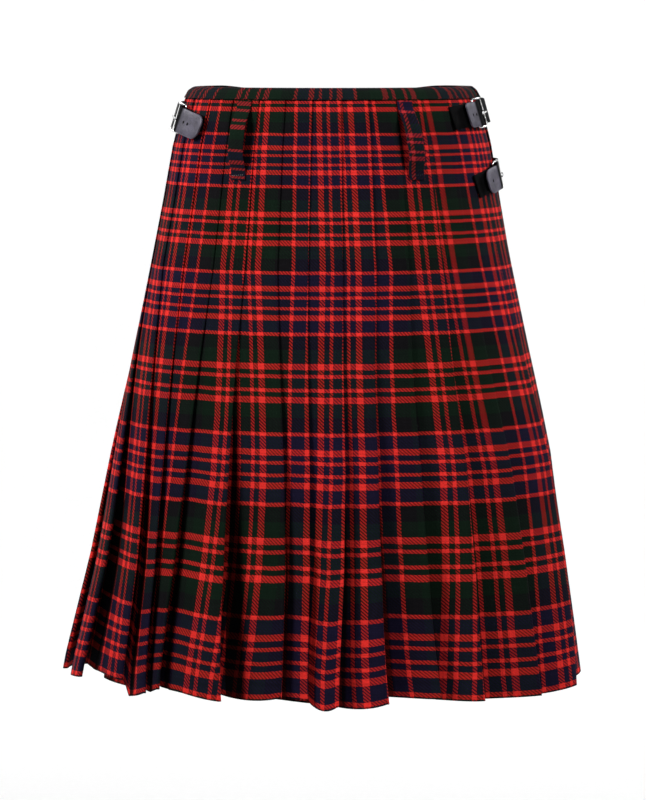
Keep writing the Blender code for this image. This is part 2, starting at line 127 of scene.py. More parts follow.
# Where each fold falls in the tartan at the same heights, in half setts from a green pivot, with
# a whole sett more from fold to fold. The first fold follows from the centre front.
PHASES = np.array((
    (0.0, 0.0, 0.0, 0.0), (-1.40, -1.40, -1.42, -1.45), (-1.00, -1.00, -1.00, -1.02),
    (-0.98, -0.98, -0.95, -1.00), (-0.62, -0.62, -0.64, -0.66), (-0.42, -0.39, -0.40, -0.40),
    (0.05, 0.08, -0.035, 0.18), (0.42, 0.43, 0.424, 0.57), (0.80, 0.77, 0.82, 0.84),
    (1.09, 1.04, 1.065, 1.07), (1.42, 1.385, 1.34, 1.37), (1.69, 1.61, 1.645, 1.66),
    (2.15, 2.11, 2.05, 2.17), (2.52, 2.43, 2.405, 2.445), (2.98, 2.96, 3.10, 3.00),
    (3.45, 3.45, 3.50, 3.45), (3.95, 3.95, 4.00, 3.95),
)) + 2.0 * np.arange(17)[:, None] + 4.0

# Half a sett, from the green pivot to the blue one: colour and number of threads.
SETT = (("green", 6), ("red", 4), ("green", 6), ("red", 7), ("green", 17), ("black", 17),
        ("red", 4), ("blue", 15), ("red", 7), ("blue", 6), ("red", 4), ("blue", 5))
THREADS = sum(count for _, count in SETT)
# The height of a crosswise thread.
WEFT_PITCH = 0.88 * MM
# How far the threads wander, in half setts.
DRIFT = 0.016
# Threads in a repeat of the twill, and how much of a lengthwise thread shows under and over.
TWILL, WARP_SHOWS = 4.0, (0.06, 0.72)
# Half setts down the cloth, in mm: where the first starts, its length, how much longer each next
# one is. Across the cloth: the first one's width, and how they widen.
ROW_FROM, ROW_LONG, ROW_GROWS = -41.0, 65.6, 5.74
SETT_WIDE, SETT_WIDENS = 79.5 * MM, 0.0317
TRIM_RED = (0.46, 0.026, 0.032)
DYES = {"green": (0.0040, 0.0117, 0.0060), "red": (0.87, 0.033, 0.027),
        "black": (0.0050, 0.0044, 0.0055), "blue": (0.0082, 0.0062, 0.0220)}

# Each strap: side, angles of its tip, the buckle's two bars and its sewn end, the height of its
# line at the buckle in mm, its fall per mm towards the tip, and its tab's reach in mm.
STRAPS = {
    "left": (-1.0, 54.3, 72.0, 79.0, 107.0, -2.2, 0.22, 34.0),
    "right": (1.0, 60.6, 68.5, 75.0, 118.0, 3.9, 0.11, 38.0),
    "hip": (1.0, 66.0, 78.0, 84.0, 122.0, -61.0, 0.22, 42.0),
}
STRAP_WIDE = 25.0 * MM
# How far out a strap lies at its tip, over the buckle's inner bar and under the outer one.
STRAP_TIP, STRAP_OVER, STRAP_UNDER = 5.5 * MM, 8.2 * MM, 4.1 * MM
# How far past and outside its place in the solid each buckle's outer bar lies.
BAR_AHEAD = {"left": 0.8 * MM, "right": 0.0, "hip": 0.0}
BAR_RISE = {"left": 1.2 * MM, "right": 0.6 * MM, "hip": 0.0}
# Past the buckle a strap turns level over this length.
STRAP_LEVELS = 14.0 * MM
# The round of a strap's and a tab's edges, a tab's share of the strap's width and how far out it
# comes back over itself, the round of a buckle's corner and the arch of its prong.
STRAP_ROUND, TAB_ROUND = 0.7 * MM, 0.5 * MM
TAB_SHARE, TAB_BACK = 0.94, 2.9 * MM
BUCKLE_CORNER, PRONG_ARCH = 2.2 * MM, 0.35 * MM
# Each belt loop: its angles at the top and the bottom end, its green pivot's height in mm, and
# its middle's place in the tartan.
LOOPS = {"left": (-35.3, -33.7, 3.5, 0.33), "right": (29.0, 30.8, -28.0, 0.97)}
# The shape of a strap's tip: the distance from its end in mm, and the width's share there.
TIP = (((0.0, 0.72), (0.5, 0.86), (1.4, 0.95), (3.5, 1.0), (7.0, 1.0)),
       ((0.0, 0.36), (0.9, 0.62), (2.4, 0.82), (5.0, 0.96), (8.0, 1.0)))
# How far each strap's holes lie from its tip, in mm, and a hole's and its ring's radius.
HOLES = {"left": (19.5, 27.0), "right": (7.5, 11.5), "hip": (10.0,)}
HOLE, HOLE_RING = 1.05 * MM, 1.7 * MM
# Half the height of a strap's sewn box.
BOX_HALF = 8.5 * MM
# The rings of a stitch: their heights and their shares of its width.
LOZENGE = ((-1.0, 0.75), (0.0, 1.0), (0.7, 0.75), (1.0, 0.35))
# A belt loop's width, its ends' heights, how far it stands off, its thickness, how much thinner
# its edges are, and the shares of its length and width where its points lie.
LOOP_WIDE, LOOP_TOP, LOOP_LOW, LOOP_OUT = 16.0 * MM, 18.3 * MM, -61.0 * MM, 9.0 * MM
LOOP_THICK, LOOP_SOFT = 1.8 * MM, 0.45 * MM
LOOP_HALF = (0.0, 0.012, 0.03, 0.06, 0.09, 0.12, 0.16, 0.2, 0.26, 0.32, 0.38, 0.44)
LOOP_SHARES = (*LOOP_HALF, 0.5, *(1.0 - share for share in LOOP_HALF[::-1]))
LOOP_ACROSS = (-0.5, -0.47, -0.4, -0.3, -0.17, 0.0, 0.17, 0.3, 0.4, 0.47, 0.5)
# Half a sett down and across a belt loop, and round the band with the place of its pivot.
LOOP_SETT, LOOP_COLUMN = 58.0 * MM, 95.0 * MM
BAND_SETT, BAND_PIVOT = 76.6 * MM, -82.4 * MM
# The band's lower edge, how far it stands off the pleats and, in degrees, runs past the free
# edges, its stations over the pleats, and its edge's place and slip in the tartan.
BAND_LOW, BAND_OUT, BAND_PAST, BAND_STEPS = 19.5 * MM, 0.15 * MM, 0.3, 150
BAND_ROW, BAND_SLIP = 0.255, 0.02
# Each face of the band: its points' heights and its top's rise in mm, and the power rounding it.
BAND_FACES = (((19.5, 20.3, 22.0, 24.0, 26.0), 5.0, 1.0),
              ((19.5, 20.3, 22.0, 23.8, 25.4), 2.4, 0.5))

# In the bake map a shell's two faces, this wide and high, lie one above the other, and its rims
# beside them: the axis across each and its place.
BAKE_WIDE, BAKE_HIGH, BAKE_INNER, BAKE_RIM = 0.95, 0.45, 0.49, 0.008
BAKE_RIMS = ((1, 0.004), (1, 0.975), (0, 0.968), (0, 0.984))
# The specular level of leather away from a strap's free end.
DULL_SPECULAR = 0.03

# The floor's height and half width, where it bends up, the bend's radius, the wall's height.
FLOOR, PAPER_HALF, PAPER_BEND, PAPER_ROUND, PAPER_TOP = -1.05, 9.0, 3.0, 2.0, 6.0
# The camera's place, how far it looks down, in degrees, and its lens in mm.
CAMERA, TILT, LENS = (-0.0083, -3.6, 0.093), 6.152, 156.22


def smooth(x):
    """0 to 1, level at both ends."""
    x = np.clip(x, 0.0, 1.0)
    return x * x * (3.0 - 2.0 * x)


def unit(vectors):
    return vectors / np.linalg.norm(vectors, axis=-1, keepdims=True)


def through(start, middle, goal, t):
    """A curve through three values, at t of 0, 0.5 and 1."""
    return start * (1 - t) * (1 - 2 * t) + middle * 4 * t * (1 - t) + goal * t * (2 * t - 1)


def rounded(start, corner, goal, t):
    """A curve from start to goal that rounds off a corner."""
    return (1 - t) ** 2 * start + 2 * t * (1 - t) * corner + t * t * goal


def fall(z):
    """How far down from the end of the stitching to the hem, 0 to 1 and a little past it."""
    return np.clip((FELL - z) / (FELL - HEM), 0.0, 1.1)


def bend(rows, z):
    """Each row's value at this height: straight down the stitching, then on a curve."""
    waist, fell, middle, hem = rows[:, 0], rows[:, 1], rows[:, 2], rows[:, 3]
    if z > FELL:
        return waist + (fell - waist) * (TOP - z) / (TOP - FELL)
    return through(fell, middle, hem, min(fall(z), 1.0))


def sett_row(z):
    """How many half setts of cloth lie above this height, from the green pivot in the band."""
    square = ROW_LONG ** 2 - 2 * ROW_GROWS * (z / MM - ROW_FROM)
    return 1.0 + (math.sqrt(square) - ROW_LONG) / ROW_GROWS


def sett_wide(z):
    """The length of half a sett across the cloth."""
    return SETT_WIDE / (1 - SETT_WIDENS * (sett_row(z) - 0.5))


def body(z):
    """The body line's half width, two half depths and sideways shift at this height."""
    return [np.interp(-z, -BODY[:, 0], BODY[:, i]) for i in range(1, 5)]


def place(angle, out, z):
    """The point this far outside the body line."""
    wide, back, front, shift = body(z)
    t = math.radians(angle)
    deep = back if math.cos(t) > 0 else front
    nx, ny = deep * math.sin(t), -wide * math.cos(t)
    size = math.hypot(nx, ny)
    return np.array((shift + wide * math.sin(t) + out * nx / size,
                     -deep * math.cos(t) + out * ny / size, z))


def dipped(angle, out, z, nominal):
    """The same point, lowered near the top edge, where the waist is lower at the front."""
    front = smooth((-math.cos(math.radians(angle)) - DIP_FROM) / DIP_OVER)
    share = np.clip((nominal - DIP_BELOW) / (TOP - DIP_BELOW), 0.0, 1.0)
    x, y, z = place(angle, out, z)
    return x, y, z - FRONT_DIP * front * share


class Level:
    """Everything about the cloth at one height."""

    def __init__(self, z):
        self.z, self.t = z, fall(z)
        self.fold, self.phase = bend(FOLDS, z), bend(PHASES, z)
        self.sett = sett_wide(z)
        self.lift = FOLDS[:, 4] * MM * smooth(self.t) ** 1.2
        self.drop = FOLDS[:, 5:8] * MM * self.t ** 3
        wide, back, front, _ = body(z)
        t = np.radians(ANGLES)
        deep = np.where(np.cos(t) > 0, back, front)
        rate = np.hypot(wide * np.cos(t), deep * np.sin(t)) * math.radians(ANGLE_STEP)
        self.arcs = np.concatenate(((0.0,), np.cumsum((rate[1:] + rate[:-1]) / 2)))
        self.at = self.arc(self.fold)
        reveal = np.diff(self.at)
        mean = (np.append(reveal, reveal[-1]) + np.insert(reveal, 0, reveal[0])) / 2
        low = np.clip(PITCH_SHARE * mean, PITCH_LOW, PITCH_HIGH)
        self.pitches = PITCH_TOP + (low - PITCH_TOP) * smooth(self.t) ** 0.8
        self.depth = np.append(PLEAT_CLOTH - reveal, 2 * LAST_DEPTH) / 2
        rise = 1.0 / reveal
        self.slopes = np.zeros(len(self.at))
        self.slopes[1:-1] = 2 * rise[1:] * rise[:-1] / (rise[1:] + rise[:-1])

    def arc(self, angle):
        return np.interp(angle, ANGLES, self.arcs)

    def angle(self, arc):
        return np.interp(arc, self.arcs, ANGLES)

    def count(self, arc):
        """How many folds lie before this place, running smoothly from fold to fold."""
        if arc <= self.at[0]:
            return 0
        if arc >= self.at[-1]:
            return len(self.at) - 1
        i = np.searchsorted(self.at, arc, side="right") - 1
        h = self.at[i + 1] - self.at[i]
        t = (arc - self.at[i]) / h
        return (i + t * t * (3 - 2 * t) + h * self.slopes[i] * t * (1 - t) ** 2
                - h * self.slopes[i + 1] * t * t * (1 - t))

    def pitch(self, arc):
        """The step from layer to layer at this place."""
        return np.interp(arc, self.at, self.pitches)

    def out(self, arc, layer):
        """How far out a layer of cloth lies."""
        value = -self.pitch(arc) * (layer - 2 * self.count(arc))
        i = layer // 2
        if 0 < i < len(self.at) and arc > self.at[i - 1]:
            share = (arc - self.at[i - 1]) / (self.at[i] - self.at[i - 1])
            value += self.lift[i] * smooth(share)
        return value

    def surface(self, arc):
        """How far out the layer that is seen lies."""
        return self.out(arc, 2 * max(0, math.ceil(self.count(arc))))

    def crease(self, arc, out):
        """How deep a place lies at the foot of the fold before it, 0 to 1, for painted shade."""
        i = np.searchsorted(self.at, arc, side="right") - 1
        if i < 0:
            return 0.0
        high, away = self.out(self.at[i], 2 * i) - out, arc - self.at[i] + CREASE_SHADE_AWAY
        return max(0.0, math.atan2(high, away) / (math.pi / 2))

    def low(self, arc, layer):
        """How much lower this layer hangs: out of sight, no lower than what covers it."""
        i = (layer - 1) // 2
        ends = self.drop[i, 2]
        away = np.clip((self.at[i] - arc) / self.depth[i], 0.0, 1.0)
        if i + 1 == len(self.at):
            return ends * (1.0 - away)
        starts, middle, goal = self.drop[i + 1]
        if arc > self.at[i] and layer % 2 == 0:
            t = min(1.0, (arc - self.at[i]) / (self.at[i + 1] - self.at[i]))
            return through(starts, middle, goal, t)
        near, share = (ends, away) if layer % 2 else (starts, min(1.0, 5.0 * away))
        return near + (min(ends, starts) - HIDDEN_RISE * self.t ** 3 - near) * share

    def ease(self, arc):
        """The sway of the hanging cloth, the same for every layer at a place."""
        if self.t <= 0:
            return 0.0
        s = arc / SWAY_ARC
        wave = math.sin(s + 5.0 * self.t) + 0.6 * math.sin(2.3 * s - 7.0 * self.t + 1.0)
        return SWAY * smooth(self.t * 1.6) * wave

    def point(self, arc, out, low=0.0):
        return dipped(self.angle(arc), out + self.ease(arc), self.z - low, self.z)


def free_edge(level, angles):
    return np.interp(-level.z, (-TOP, -HEM), angles)


def apron_angles(level):
    return np.linspace(free_edge(level, OUTER_EDGE), level.fold[0], APRON_STEPS + 1)


def apron_out(angle):
    return APRON_RISE * smooth((APRON_FROM - angle) / APRON_OVER)


def under_angles(level):
    return np.linspace(level.fold[-1], free_edge(level, UNDER_EDGE), UNDER_STEPS + 1)[1:]


def under_out(level, angle):
    start = level.out(level.at[-1], 2 * len(level.at))
    inner = -(UNDER_IN + UNDER_MORE * level.t)
    return start + (inner - start) * smooth((angle - level.fold[-1]) / UNDER_OVER)


def turn(level, i, inner, u):
    """The round of a fold, at its edge or at its hidden inner edge."""
    arc = level.at[i] - (level.depth[i] if inner else 0.0)
    r = level.pitch(arc) / 2
    top, low = level.out(arc, 2 * i + 1 if inner else 2 * i), level.low(arc, 2 * i + 1)
    side = -1 if inner else 1
    return [(arc + side * r * math.cos(a), top - r + r * math.sin(a), low,
             u + (math.pi / 2 - a) * r / level.sett)
            for a in np.radians(np.linspace(90, -90, TURN_STEPS + 2)[1:-1])]


def hidden(level, layer, spots, start, goal):
    """Cloth out of sight, whose place in the tartan runs evenly from start to goal."""
    share = (np.asarray(spots) - spots[0]) / (spots[-1] - spots[0])
    return [(a, level.out(a, layer), level.low(a, layer), start + (goal - start) * t)
            for a, t in zip(spots, share)]


def pleat(level, i):
    """Fold i, the layer back from it, its inner fold and the layer out to the next fold."""
    inner, u = level.at[i] - level.depth[i], level.phase[i]
    points = turn(level, i, False, u)
    u += math.pi * level.pitch(level.at[i]) / 2 / level.sett
    deep = u + level.depth[i] / level.sett
    points += hidden(level, 2 * i + 1, np.linspace(level.at[i], inner, BACK_STEPS), u, deep)
    points += turn(level, i, True, deep)
    return points + shown(level, i, inner, deep + math.pi * level.pitch(inner) / 2 / level.sett)


def shown(level, i, start, u):
    """The layer out to fold i + 1: it is seen only past fold i."""
    layer = 2 * i + 2
    if i + 1 == len(level.at):
        spots = np.linspace(start, level.at[i], LAST_STEPS)
        return hidden(level, layer, spots, u, u + (spots[-1] - start) / level.sett)
    near, far = level.at[i] - SEEN_FROM, level.at[i + 1]
    goal = level.phase[i + 1]
    spots = np.linspace(start, near, INNER_STEPS)
    points = hidden(level, layer, spots, u, goal - (far - near) / level.sett)[:-1]
    return points + [(a, level.out(a, layer), level.low(a, layer), goal - (far - a) / level.sett)
                     for a in np.linspace(near, far, SEEN_STEPS)]


def outer_length(level):
    """The outer apron and the pleats after it, as (arc, out, low, place in the tartan)."""
    i = JOIN_FOLD
    front = level.arc(-180.0)
    apron = [(level.arc(a), apron_out(a)) for a in apron_angles(level)]
    points = [(a, o, 0.0, (a - front) / level.sett) for a, o in apron]
    level.phase[0] = points[-1][3]
    for n in range(i):
        points += pleat(level, n)
    u = level.phase[i]
    points += turn(level, i, False, u)
    spots = np.linspace(level.at[i], level.at[i] - level.depth[i] + JOIN_BACK, BACK_STEPS)
    return points + hidden(level, 2 * i + 1, spots, u, u + (spots[0] - spots[-1]) / level.sett)


def under_length(level):
    """The other pleats and the under apron, in the same way."""
    i = JOIN_FOLD
    start = level.at[i] - level.depth[i] + JOIN_BACK
    points = shown(level, i, start, level.phase[i + 1] - (level.at[i + 1] - start) / level.sett)
    for n in range(i + 1, len(level.at)):
        points += pleat(level, n)
    arc, _, _, u = points[-1]
    rest = [(level.arc(a), under_out(level, a)) for a in under_angles(level)]
    return points + [(a, o, 0.0, u + (a - arc) / level.sett) for a, o in rest]


def directions(points):
    """A line's direction before and after each of its points, by their first two numbers."""
    ahead = unit(np.diff(points[:, :2], axis=0))
    return np.vstack((ahead[:1], ahead)), np.vstack((ahead, ahead[-1:]))


def sided(points):
    """Both faces of a line of cloth, mitred at its corners."""
    points = np.asarray(points)
    before, after = directions(points)
    side = unit(np.stack((before[:, 1] + after[:, 1], -before[:, 0] - after[:, 0]), axis=1))
    lean = np.maximum(side[:, 0] * after[:, 1] - side[:, 1] * after[:, 0], 0.5)
    step = np.zeros_like(points)
    step[:, :2] = side * (WALL / 2 / lean)[:, None]
    return points + step, points - step


def placed(name, data, spot=(0.0, 0.0, 0.0)):
    obj = bpy.data.objects.new(name, data)
    obj.location = spot
    bpy.context.scene.collection.objects.link(obj)
    return obj


def smooth_mesh(name, points, faces):
    mesh = bpy.data.meshes.new(name)
    mesh.from_pydata(points, [], faces)
    mesh.polygons.foreach_set("use_smooth", np.ones(len(faces), dtype=bool))
    return mesh


def link(name, data, material, replaces=True):
    """Adds a piece of the kilt. Most take the place of the solid of their name."""
    obj = placed(name + "_looks" if replaces else name, data)
    data.materials.append(material)
    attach(obj, "root")
    if replaces:
        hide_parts(name)
    return obj


def travelled(points):
    """How far along a line each of its points lies, as a share of the whole."""
    run = np.concatenate(([0.0], np.cumsum(np.linalg.norm(np.diff(points, axis=0), axis=1))))
    return run / run[-1]


def shell(name, outer, inner, weave, material):
    """A thin closed wall between two grids of points, stations by rows. weave holds each point's
    place in the tartan and how deep it lies in a crease, which sets its painted shade."""
    outer, inner, weave = (np.asarray(x, dtype=float) for x in (outer, inner, weave))
    n, k, _ = outer.shape
    near = np.arange(n * k).reshape(n, k)
    far = near + n * k
    strips = (
        (near[:-1, :-1], near[1:, :-1], near[1:, 1:], near[:-1, 1:]),
        (far[:-1, :-1], far[:-1, 1:], far[1:, 1:], far[1:, :-1]),
        (near[:-1, 0], far[:-1, 0], far[1:, 0], near[1:, 0]),
        (near[:-1, -1], near[1:, -1], far[1:, -1], far[:-1, -1]),
        (near[0, :-1], near[0, 1:], far[0, 1:], far[0, :-1]),
        (near[-1, :-1], far[-1, :-1], far[-1, 1:], near[-1, 1:]),
    )
    quads = [np.stack(strip, -1).reshape(-1, 4) for strip in strips]
    points = np.concatenate((outer.reshape(-1, 3), inner.reshape(-1, 3)))
    a, b, c, d = np.moveaxis(points[np.concatenate(quads)], 1, 0)
    if (np.cross(b, c) * a).sum() + (np.cross(c, d) * a).sum() < 0:
        quads = [q[:, ::-1] for q in quads]
    faces = np.concatenate(quads)
    mesh = smooth_mesh(name, points.tolist(), faces.tolist())
    both = np.tile(weave.reshape(n * k, -1), (2, 1))
    both = np.hstack((both, np.zeros((2 * n * k, 4 - both.shape[1]))))
    mesh.uv_layers.new(name="cloth").data.foreach_set("uv", both[faces][..., :2].ravel())
    mesh.uv_layers.new(name="crease").data.foreach_set("uv", both[faces][..., 2:].ravel())
    along, down = travelled(outer[:, k // 2]), travelled(outer[n // 2])
    grid = np.stack(np.meshgrid(0.01 + BAKE_WIDE * along, 0.02 + BAKE_HIGH * down,
                                indexing="ij"), -1).reshape(-1, 2)
    spread = np.concatenate((grid, grid + (0.0, BAKE_INNER)))[faces]
    first = len(quads[0]) + len(quads[1])
    for q, (axis, spot) in zip(quads[2:], BAKE_RIMS):
        part, inside = spread[first:first + len(q)], q >= n * k
        if axis == 0:
            part[inside] -= (0.0, BAKE_INNER)
        part[..., axis] = spot + BAKE_RIM * inside
        first += len(q)
    mesh.uv_layers.new(name="OFBake").data.foreach_set("uv", spread.ravel())
    rims = np.concatenate(quads[2:])
    sides = np.sort(np.stack((rims, np.roll(rims, -1, axis=1)), -1)).reshape(-1, 2)
    sharp = {(a, b) for a, b in sides.tolist() if (a < n * k) == (b < n * k)}
    mesh.edges.foreach_set("use_edge_sharp", [edge in sharp for edge in mesh.edge_keys])
    return link(name, mesh, material)


def cloth(name, line, material):
    """A length of cloth, from its line of points at each height."""
    heights = np.concatenate((np.linspace(TOP, WAIST_END, WAIST_ROWS)[:-1],
                              np.linspace(WAIST_END, HEM, HEM_ROWS)))
    grids = [], [], []
    for z in heights:
        level = Level(z)
        spots = line(level)
        points = [level.point(*spot) for *spot, _ in spots]
        # Each point's third value sets the painted shade at the foot of the fold before it.
        weave = [(u, sett_row(z), level.crease(arc, out)) for arc, out, _, u in spots]
        for grid, row in zip(grids, (*sided(points), weave)):
            grid.append(row)
    return shell(name, *(np.swapaxes(grid, 0, 1) for grid in grids), material)


def thickest(level):
    """How far the innermost layer of the pleats lies inside the body line."""
    return -min(level.out(level.at[i] - level.depth[i], 2 * i + 2) for i in range(len(level.at)))


def band(name, material):
    """The folded strip over the top edge, from one free edge to the other."""
    level = Level(BAND_LOW)
    stack, centre = thickest(Level(TOP)), level.arc(0.0)
    # Each station: its angle, and how far out the cloth's outermost and innermost layers lie.
    stations = [[a, apron_out(a), apron_out(a)] for a in apron_angles(level) if a < -156.0]
    stations += [[a, BAND_OUT, -stack]
                 for a in np.linspace(-150.5, level.fold[-1] + 1.5, BAND_STEPS)]
    stations += [[a, under_out(level, a), under_out(level, a)] for a in under_angles(level)]
    stations[0][0] -= BAND_PAST
    stations[-1][0] += BAND_PAST
    near = WALL / 2 + 1.3 * SEAM
    faces, weave = ([], []), []
    for angle, high, low in stations:
        middle = (high + low) / 2
        for face, gap, (heights, crown, power) in zip(faces, (near + WALL, near), BAND_FACES):
            points = [(high + gap, z * MM) for z in heights]
            for a in np.radians(np.linspace(18.0, 162.0, 9)):
                c, s = math.cos(a), math.sin(a)
                points.append((middle + (high + gap - middle) * math.copysign(abs(c) ** 0.5, c),
                               (heights[-1] + crown * s ** power) * MM))
            points += [(low - gap, z * MM) for z in heights[::-1]]
            face.append([dipped(angle, out, z, z) for out, z in points])
        u = (level.arc(angle) - centre - BAND_PIVOT) / BAND_SETT
        rows = np.linalg.norm(np.diff(faces[0][-1], axis=0), axis=1).cumsum()
        weave.append([(u + BAND_SLIP, BAND_ROW)] + [(u, BAND_ROW + r / BAND_SETT) for r in rows])
    return shell(name, *faces, weave, material)


def belt_loop(key, material):
    """A strip sewn down at both ends, which stands off between them for a belt."""
    top, low, pivot, column = LOOPS[key]
    faces, weave = ([], []), []
    for share in LOOP_SHARES:
        z = LOOP_TOP + (LOOP_LOW - LOOP_TOP) * share
        level = Level(z)
        middle = level.arc(top + (low - top) * share)
        rise = LOOP_OUT * smooth(min(share, 1 - share) / 0.3 - 0.2)
        for face in faces:
            face.append([])
        for across in LOOP_ACROSS:
            arc = middle + across * LOOP_WIDE
            seat = max(level.surface(arc + d * MM) for d in (-1.0, 0.0, 1.0)) + WALL / 2 + SEAM
            soft = LOOP_SOFT * max(0.0, (abs(across) - 0.38) / 0.12) ** 2
            for face, out in zip(faces, (LOOP_THICK - soft, 0.35 * soft)):
                face[-1].append(place(level.angle(arc), seat + rise + out, z))
        down = (pivot * MM - z) / LOOP_SETT
        weave.append([(-column - x * LOOP_WIDE / LOOP_COLUMN, down - 0.012 * x)
                      for x in LOOP_ACROSS])
    return shell("belt_loop_" + key, *faces, weave, material)


class Strap:
    """Where a strap runs. It is flat across, so it lies on the highest line of the body."""

    def __init__(self, key):
        self.side, *angles, height, self.slope, self.reach = STRAPS[key]
        self.key, self.generator = key, self.side * angles[1]
        self.level = Level(height * MM)
        self.tip, self.bar, self.far, self.end = (self.level.arc(self.side * a) for a in angles)
        self.steep = self.side * (self.far - self.bar) + 3.0 * MM
        self.known = {}

    def frame(self, arc):
        """The middle of the strap's line at this arc, its up and its outward direction."""
        if arc not in self.known:
            past = self.side * (arc - self.bar)
            turned = np.clip((past - self.steep) / STRAP_LEVELS, 0.0, 1.0)
            lean = self.slope * (1.0 - turned)
            rise = self.slope * (min(past, self.steep)
                                 + STRAP_LEVELS * (turned - turned * turned / 2))
            tall = STRAP_WIDE / math.hypot(1.0, lean)
            spots = []
            for share in (-0.5, -0.25, 0.0, 0.25, 0.5):
                across = Level(self.level.z + rise + share * tall)
                angle = across.angle(across.arc(self.generator) + arc - self.bar
                                     - self.side * lean * share * tall)
                spots.append(place(angle, 0.0, across.z))
                if share == 0.0:
                    normal = place(angle, 1.0, across.z) - spots[-1]
            low, high = spots[0], spots[-1]
            hump = max(np.dot(spot - low - (high - low) * (0.25 * n), normal)
                       for n, spot in enumerate(spots))
            self.known[arc] = (low + high) / 2 + normal * hump, (high - low) / STRAP_WIDE, normal
        return self.known[arc]

    def line(self, arc, out, up):
        """The point this far out from the strap's line and this far up across its width."""
        middle, rise, normal = self.frame(arc)
        return middle + rise * up + normal * out


def section(half, thick, rounding):
    """A flat strip's section with rounded edges, as (up, out) pairs going round."""
    r = min(rounding, half * 0.6)
    points = [(u, thick) for u in (half - r, half * 0.5, 0.0, -half * 0.5, -half + r)]
    points += [(-half + r - r * math.sin(a), thick * math.cos(a))
               for a in np.radians((35, 65, 90, 115, 145))]
    return points + [(-u, -out) for u, out in points]


def closed(n, m, first=0):
    """The faces of a solid through n rings of m points."""
    ends = first + (n - 1) * m
    faces = [(i + j, i + (j + 1) % m, i + m + (j + 1) % m, i + m + j)
             for i in range(first, ends, m) for j in range(m)]
    return faces + [tuple(range(first, first + m))[::-1], tuple(range(ends, ends + m))]


def loft(name, rings, marks, material):
    """A solid through rings of points. marks hold each point's place along and across."""
    rings, marks = np.asarray(rings, dtype=float), np.asarray(marks, dtype=float)
    n, m, _ = rings.shape
    faces, points = closed(n, m), rings.reshape(-1, 3)
    middle = rings[n // 2].mean(axis=0)
    a, b, c = (points[spot] for spot in faces[n // 2 * m][:3])
    if np.dot(np.cross(b - a, c - a), a - middle) < 0:
        faces = [face[::-1] for face in faces]
    mesh = smooth_mesh(name, points.tolist(), faces)
    loops = np.array([v for face in faces for v in face])
    mesh.uv_layers.new(name="along").data.foreach_set("uv", marks.reshape(-1, 2)[loops].ravel())
    return link(name, mesh, material)


def leather_strip(name, strap, path, thick, material, rounding):
    """Leather along a smoothed path of (arc, out, share of the width)."""
    path = np.asarray(path)
    steps = np.linspace(0, len(path) - 1, (len(path) - 1) * 4 + 1)
    whole = np.stack([np.interp(steps, np.arange(len(path)), row) for row in path.T], axis=1)
    for _ in range(2):
        whole[1:-1] = 0.25 * whole[:-2] + 0.5 * whole[1:-1] + 0.25 * whole[2:]
    both = unit(sum(directions(whole)) * strap.side)
    rings, marks = [], []
    for (arc, out, share), (da, do) in zip(whole, both):
        ring, mark = [], []
        for up, off in section(STRAP_WIDE / 2 * share, thick / 2, rounding):
            ring.append(strap.line(arc - do * off, out + da * off, up))
            mark.append((strap.side * (strap.bar - arc) / MM, up / (STRAP_WIDE / 2 * share)))
        rings.append(ring)
        marks.append(mark)
    loft(name, rings, marks, material)
    return whole


def strap_path(strap):
    """From the tip over the buckle's inner bar, under its outer bar and onto the cloth."""
    side, tip, bar, far = strap.side, strap.tip, strap.bar, strap.far
    reach = abs(tip - bar)
    seat = WALL / 2 + 1.8 * SEAM + LEATHER / 2
    # The left strap ends on the pleats, and the others on the outer apron.
    if strap.key == "left":
        edge = far - 22.0 * MM
    else:
        seat += APRON_RISE
        edge = strap.level.arc(360.0 + free_edge(strap.level, OUTER_EDGE)) - 4.0 * MM
    climb = abs(edge - far)
    path = [(tip + side * x * MM, STRAP_TIP + 0.02 * (reach - x * MM), share)
            for x, share in TIP[strap.key != "right"]]
    bends = ((bar, -7.0, 6.8 * MM), (bar, -3.0, 8.0 * MM), (bar, 1.0, STRAP_OVER),
             (bar, 6.0, 6.6 * MM), (far, -4.0, 4.7 * MM), (far, 0.0, STRAP_UNDER))
    path += [(start + side * past * MM, out, 1.0) for start, past, out in bends]
    path += [(far + side * along * climb, STRAP_UNDER + up * (seat - STRAP_UNDER), 1.0)
             for along, up in ((0.3, 0.25), (0.65, 0.8))]
    return path + [(a, seat, 1.0) for a in np.linspace(edge, strap.end, 9)]


def tab_path(strap):
    """From the tab's sewn end to the buckle's inner bar, round that and back over itself."""
    side, bar = strap.side, strap.bar
    low = WALL / 2 + 1.6 * SEAM + TAB / 2
    centre = low + TAB / 2 + 1.4 * SEAM + ROD
    radius = ROD + 1.4 * SEAM + TAB / 2
    spots = [(-x * MM, low) for x in (*np.linspace(strap.reach, 12.0, 5), 6.0, 2.0)]
    spots += [(radius * math.cos(a), centre + radius * math.sin(a))
              for a in np.radians((-75.0, -40.0, 0.0, 40.0, 80.0))]
    spots += [(-2.0 * MM, centre + radius - 0.2 * MM), (-6.0 * MM, TAB_BACK),
              (-12.0 * MM, TAB_BACK)]
    return [(bar + side * past, out, TAB_SHARE) for past, out in spots]


def tube(name, points, cyclic, radius, material):
    curve = bpy.data.curves.new(name, "CURVE")
    curve.dimensions = "3D"
    curve.bevel_depth = radius
    curve.bevel_resolution = 5
    curve.use_fill_caps = True
    spline = curve.splines.new("POLY")
    spline.points.add(len(points) - 1)
    for spot, point in zip(spline.points, points):
        spot.co = (*point, 1.0)
    spline.use_cyclic_u = cyclic
    spline.use_smooth = True
    return link(name, curve, material)


